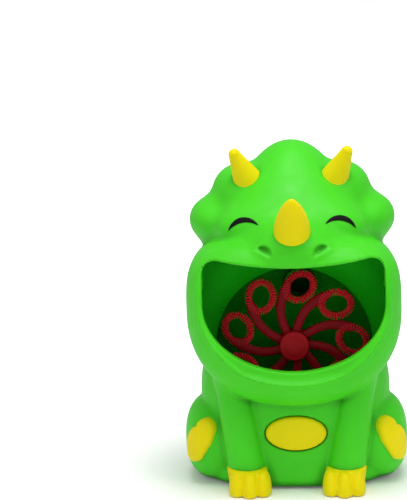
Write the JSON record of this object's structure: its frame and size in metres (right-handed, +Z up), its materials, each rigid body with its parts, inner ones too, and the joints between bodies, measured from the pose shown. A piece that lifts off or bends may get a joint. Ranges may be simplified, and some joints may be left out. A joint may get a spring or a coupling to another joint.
{
  "type": "bubble machine",
  "caption": "Toy bubble machine shaped like a horned dinosaur, with a motor-driven wand wheel turning in its open mouth, a blower behind it and a push button on the belly.",
  "frame": {"origin": "on the floor, at the middle rubber pad under the body", "axes": "+Z up, the face looks towards -Y, +X to the viewer's right when facing it"},
  "size_m": [0.1452, 0.1424, 0.2195],
  "materials": {
    "green_shell": "glossy moulded, lime green",
    "yellow_trim": "glossy moulded, yellow",
    "red_wheel": "glossy moulded, dark red",
    "red_hub": "glossy moulded, red",
    "dark_tank": "dark green, satin",
    "black_trim": "glossy black",
    "steel": "bright steel",
    "gear_plastic": "natural white acetal",
    "case_plastic": "dark grey, moulded",
    "motor_steel": "drawn steel can",
    "cell": "printed jacket, no lettering",
    "board": "phenolic board",
    "copper_wire": "insulated wire",
    "pad": "soft rubber"
  },
  "bodies": {
    "housing": {"front_shell": "green_shell", "rear_shell": "green_shell", "mouth_liner": "dark_tank", "nose_horn": "yellow_trim", "brow_horn_left": "yellow_trim", "brow_horn_right": "yellow_trim", "eye_left": "black_trim", "eye_right": "black_trim", "front_foot_left": "yellow_trim", "front_foot_right": "yellow_trim", "hind_sole_left": "yellow_trim", "hind_sole_right": "yellow_trim", "button_spring": "steel", "switch_board": "board", "push_switch": "case_plastic", "wheel_bush": "gear_plastic", "gear_pins": "steel", "gear_case": "case_plastic", "gear_cover": "case_plastic", "drive_motor": "motor_steel", "fan_motor": "motor_steel", "blower_housing": "case_plastic", "blower_cover": "case_plastic", "air_duct": "dark_tank", "battery_box": "case_plastic", "aa_cells": "cell", "contact_plates": "steel", "contact_springs": "steel", "wiring": "copper_wire", "shell_screws": "steel", "liner_screws": "steel", "board_screws": "steel", "blower_screws": "steel", "gearbox_screws": "steel", "case_screws": "steel", "rubber_pads": "pad"},
    "wheel": {"wand_wheel": "red_wheel", "hub_cap": "red_hub", "wheel_shaft": "steel", "output_gear": "gear_plastic"},
    "second_gear": {"gear_b": "gear_plastic"},
    "first_gear": {"gear_a": "gear_plastic"},
    "drive": {"drive_rotor": "steel", "motor_pinion": "gear_plastic"},
    "fan": {"fan_rotor": "steel", "impeller": "gear_plastic"},
    "button": {"power_button": "yellow_trim", "switch_plunger": "red_hub"},
    "door": {"battery_door": "green_shell", "door_screw": "steel"}
  },
  "joints": [
    {"name": "wheel_spin", "type": "hinge", "parent": "housing", "child": "wheel", "pos_m": [0, 0, 0.09], "axis": [0, 1, 0], "continuous": true},
    {"name": "second_gear_spin", "type": "hinge", "parent": "housing", "child": "second_gear", "pos_m": [-0.01691, 0, 0.08384], "axis": [0, 1, 0], "continuous": true},
    {"name": "first_gear_spin", "type": "hinge", "parent": "housing", "child": "first_gear", "pos_m": [-0.01431, 0, 0.09862], "axis": [0, 1, 0], "continuous": true},
    {"name": "drive_spin", "type": "hinge", "parent": "housing", "child": "drive", "pos_m": [-0.00021, 0, 0.10375], "axis": [0, 1, 0], "continuous": true},
    {"name": "fan_spin", "type": "hinge", "parent": "housing", "child": "fan", "pos_m": [-0.014, 0, 0.165], "axis": [0, 1, 0], "continuous": true},
    {"name": "button_press", "type": "slide", "parent": "housing", "child": "button", "axis": [0, 1, 0], "range_m": [0, 0.0015], "stiffness_N_per_m": 300, "springref_m": -0.001, "deforming": ["button_spring"]},
    {"name": "door_swing", "type": "hinge", "parent": "housing", "child": "door", "pos_m": [0, 0.0582, 0.0083], "axis": [-1, 0, 0], "range_deg": [0, 70]}
  ],
  "couplings": [
    {"joint": "second_gear_spin", "follows": "wheel_spin", "ratio": -5},
    {"joint": "first_gear_spin", "follows": "wheel_spin", "ratio": 20},
    {"joint": "drive_spin", "follows": "wheel_spin", "ratio": -80}
  ]
}
